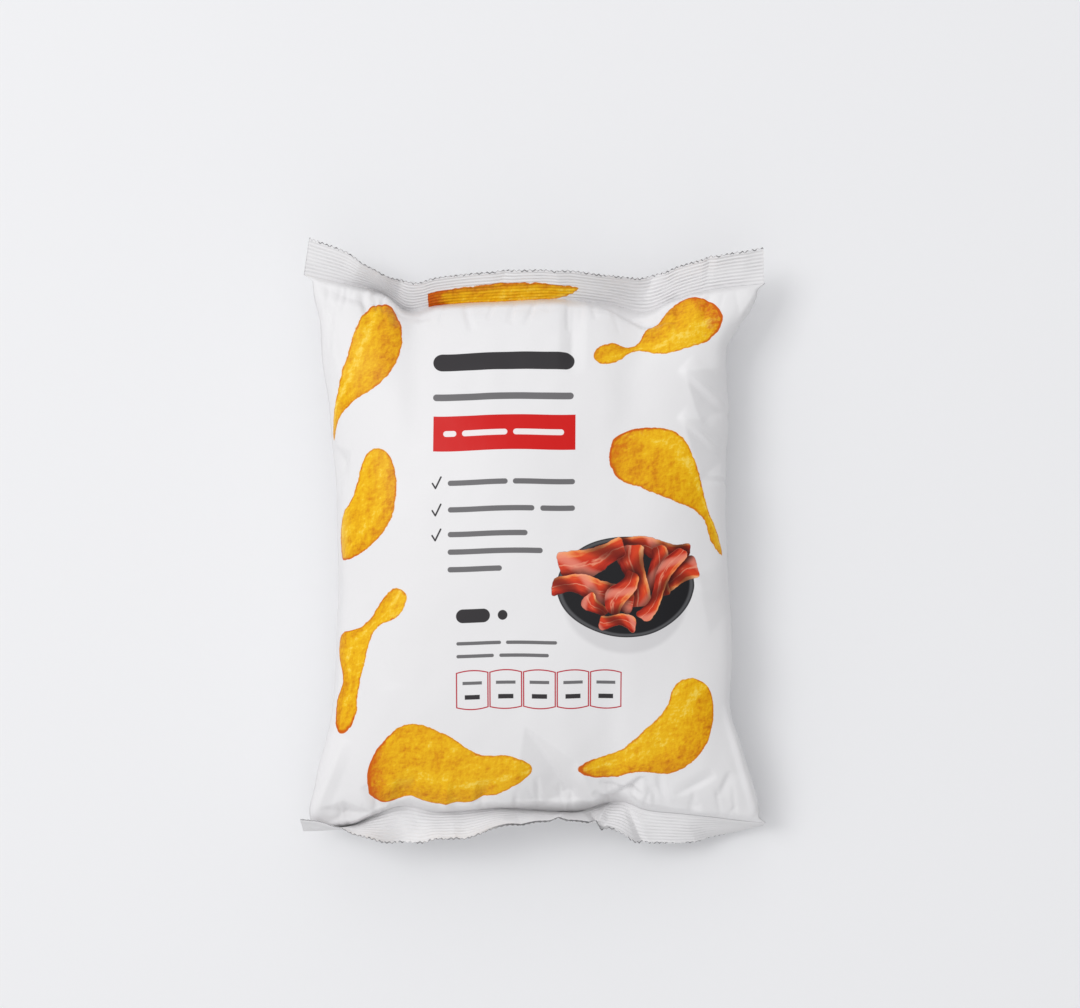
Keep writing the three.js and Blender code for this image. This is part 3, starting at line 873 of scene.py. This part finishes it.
def any_of(shapes):
    """The outline of all of the shapes together."""
    joined = shapes[0]
    for shape in shapes[1:]:
        joined = joined.most(shape)
    return joined.rise(-0.08, 0.12)


DARK_BARS = [(-41.5, 18.4, 83.2, 4.0), (-30.9, -16.6, -24.5, 2.9), (-13.4, -9.3, -24.5, 2.1)]
GREY_BARS = [
    (-41.2, 18.0, 67.4, 1.5), (-34.5, -9.3, 31.0, 1.15), (-7.2, 18.7, 31.0, 1.15),
    (-34.4, 1.8, 19.9, 1.15), (4.2, 18.7, 19.9, 1.15), (-34.4, -1.0, 9.6, 1.15),
    (-34.4, 5.3, 2.3, 1.15), (-34.4, -11.6, -5.0, 1.15), (-30.8, -12.0, -36.0, 0.75),
    (-10.0, 11.3, -36.0, 0.75), (-30.8, -15.0, -41.4, 0.75), (-12.8, 7.9, -41.4, 0.75),
]
RED_BAR = (-40.9, 18.8, 44.3, 59.3)
WHITE_BARS = [(-36.6, -31.0, 51.8, 1.25), (-28.6, -9.6, 51.8, 1.25), (-7.2, 14.0, 51.8, 1.25)]
TICKS = [31.0, 19.6, 9.2]
TICK_HALF_WIDTH = 0.38
ticks = [stroke(a, b, TICK_HALF_WIDTH) for level in TICKS for a, b in (
    ((-41.0, level - 0.2), (-39.7, level - 2.2)), ((-39.7, level - 2.2), (-37.4, level + 2.6)))]

# Five boxes in a row, all from one: the place across is folded back to the first box
BOX_COUNT = 5
BOX_LEFT = -31.2
BOX_PITCH = 14.05
BOX_HALF_WIDTH = 6.6
BOX_MIDDLE = -55.8
BOX_HALF_HEIGHT = 7.6
in_row = (print_x - BOX_LEFT) / BOX_PITCH
box_x = (in_row - in_row.math("FLOOR", in_row) - 0.5) * BOX_PITCH
box_y = print_y - BOX_MIDDLE
five = (BOX_COUNT / 2 - abs(in_row - BOX_COUNT / 2)).rise(-0.01, 0.01)
arched = abs(box_y) - (BOX_HALF_HEIGHT + 0.7 - box_x * box_x * 0.022)
box_edge = (abs(box_x) - BOX_HALF_WIDTH).most(arched)
box_line = abs(box_edge).rise(0.34, 0.2) * five
small_marks = (4.1 - abs(box_x)).least(0.7 - abs(box_y - 3.0)).rise(-0.08, 0.12) * five
bold_marks = (3.2 - abs(box_x)).least(1.0 - abs(box_y + 3.0)).rise(-0.08, 0.12) * five

# The colours go on from the back to the front of the design
red_bar = (print_x - RED_BAR[0]).least(RED_BAR[1] - print_x).least(
    (print_y - RED_BAR[2]).least(RED_BAR[3] - print_y)).rise(-0.05, 0.1)
colour = nodes.over((0.82, 0.81, 0.815), (0.60, 0.59, 0.60), plate_shade.rise(-0.02, 0.10) * 0.55)
colour = nodes.over(colour, plate_colour, plate_inside.rise(-0.003, 0.006))
colour = nodes.over(colour, meat, on_rasher)
colour = nodes.over(colour, golden, on_crisp)
colour = nodes.over(colour, (0.63, 0.006, 0.005), red_bar)
white, dark, grey = ([bar(*spec) for spec in specs] for specs in (WHITE_BARS, DARK_BARS, GREY_BARS))
colour = nodes.over(colour, (0.86, 0.80, 0.80), any_of(white))
colour = nodes.over(colour, (0.035, 0.032, 0.035), any_of(dark + ticks).most(bold_marks))
colour = nodes.over(colour, (0.16, 0.155, 0.16), any_of(grey).most(small_marks))
colour = nodes.over(colour, (0.50, 0.03, 0.05), box_line)

# The cut edge of each band shows broken dark specks along it, and where the middle of the bottom
# band stands up, a wider dark line of painted shadow runs along its cut edge, for the shade beneath
# it
EDGE_SHADOW_MIDDLE = 8.0
EDGE_SHADOW_NONE, EDGE_SHADOW_FULL = 34.0, 16.0
EDGE_SHADOW_ALONG = (-120.0, -130.0)
cut_edge = nodes.add("ShaderNodeAttribute", {"attribute_name": "cut_edge"}, {}, 2)
# Painted shadow: a dark line along the cut edge where the middle of the bottom band stands up
edge_shadow = abs(print_x - EDGE_SHADOW_MIDDLE).rise(EDGE_SHADOW_NONE, EDGE_SHADOW_FULL)
edge_shadow = edge_shadow * print_y.rise(*EDGE_SHADOW_ALONG)
edge_specks_and_shadow = (cut_edge.rise(0.945, 0.985) * nodes.mottle(2.0, 1, 0.4).rise(0.46, 0.56)).most(
    cut_edge.rise(0.84, 0.96) * edge_shadow)
# Dark specks along each cut edge, plus the painted shadow along the standing middle of the bottom
# band
colour = nodes.over(colour, (0.06, 0.06, 0.065), edge_specks_and_shadow * 0.85)

finish = film.node_tree.nodes["Principled BSDF"]
finish.inputs["Specular IOR Level"].default_value = 0.2
gloss = 0.42 + (nodes.mottle(14.0, 2, 0.5) - 0.5) * 0.12
rumpled = nodes.mottle(9.0, 2, 0.6) * 0.7 + nodes.mottle(2.4, 2, 0.7) * 0.12
bumped = nodes.add("ShaderNodeBump", {}, {"Height": rumpled, "Strength": 0.5, "Distance": 0.0003})
for name, value in (("Base Color", colour), ("Roughness", gloss), ("Normal", bumped)):
    film.node_tree.links.new(value.socket, finish.inputs[name])
for piece in (body, lap_seam, top_band, bottom_band):
    piece.data.materials.append(film)

# The studio: a pale table top, one large soft light from the upper left, a pale room that is
# darker towards both sides, and a camera straight above
table_top = film_object("table_top", square(1500), np.array([[0, 1, 2, 3]]))
pale = bpy.data.materials.new("pale_table")
pale.use_nodes = True
pale_finish = pale.node_tree.nodes["Principled BSDF"]
pale_finish.inputs["Base Color"].default_value = (0.86, 0.86, 0.87, 1)
pale_finish.inputs["Roughness"].default_value = 0.7
table_top.data.materials.append(pale)

room = bpy.data.worlds.new("room")
room.use_nodes = True
sky = PrintNodes(room)
way = [sky.add("ShaderNodeSeparateXYZ", {}, {0: sky.add("ShaderNodeTexCoord", {}, {})}, axis)
       for axis in (0, 1)]
room_light = room.node_tree.nodes["Background"]
room_light.inputs["Color"].default_value = (0.98, 0.985, 1.0, 1)
strength = 1.05 - way[0].most(0.0) * 0.8 + way[0].least(0.0) * 0.5 + way[1] * 0.08
room.node_tree.links.new(strength.socket, room_light.inputs["Strength"])
bpy.context.scene.world = room
bpy.context.scene.view_settings.view_transform = "Standard"


def soft_light(name, place, size, watts):
    """A square area light that faces the bag."""
    light = bpy.data.lights.new(name, "AREA")
    light.size = size
    light.energy = watts
    lamp = bpy.data.objects.new(name, light)
    lamp.location = place
    lamp.rotation_euler = (Vector((0, 0, 0.02)) - lamp.location).to_track_quat("-Z", "Y").to_euler()
    bpy.context.scene.collection.objects.link(lamp)


soft_light("key", place=(-1.2, 0.65, 2.15), size=1.0, watts=17)

# The bag lies below the middle of the photograph by this many of its pixels
PHOTO_WIDTH = 1080
BELOW_MIDDLE = 44.5
lens = bpy.data.cameras.new("camera")
lens.lens = 75
lens.sensor_width = 36
lens.shift_y = BELOW_MIDDLE / PHOTO_WIDTH
camera = bpy.data.objects.new("camera", lens)
camera.location = (0.0026, -0.0033, 0.993)
bpy.context.scene.collection.objects.link(camera)
bpy.context.scene.camera = camera
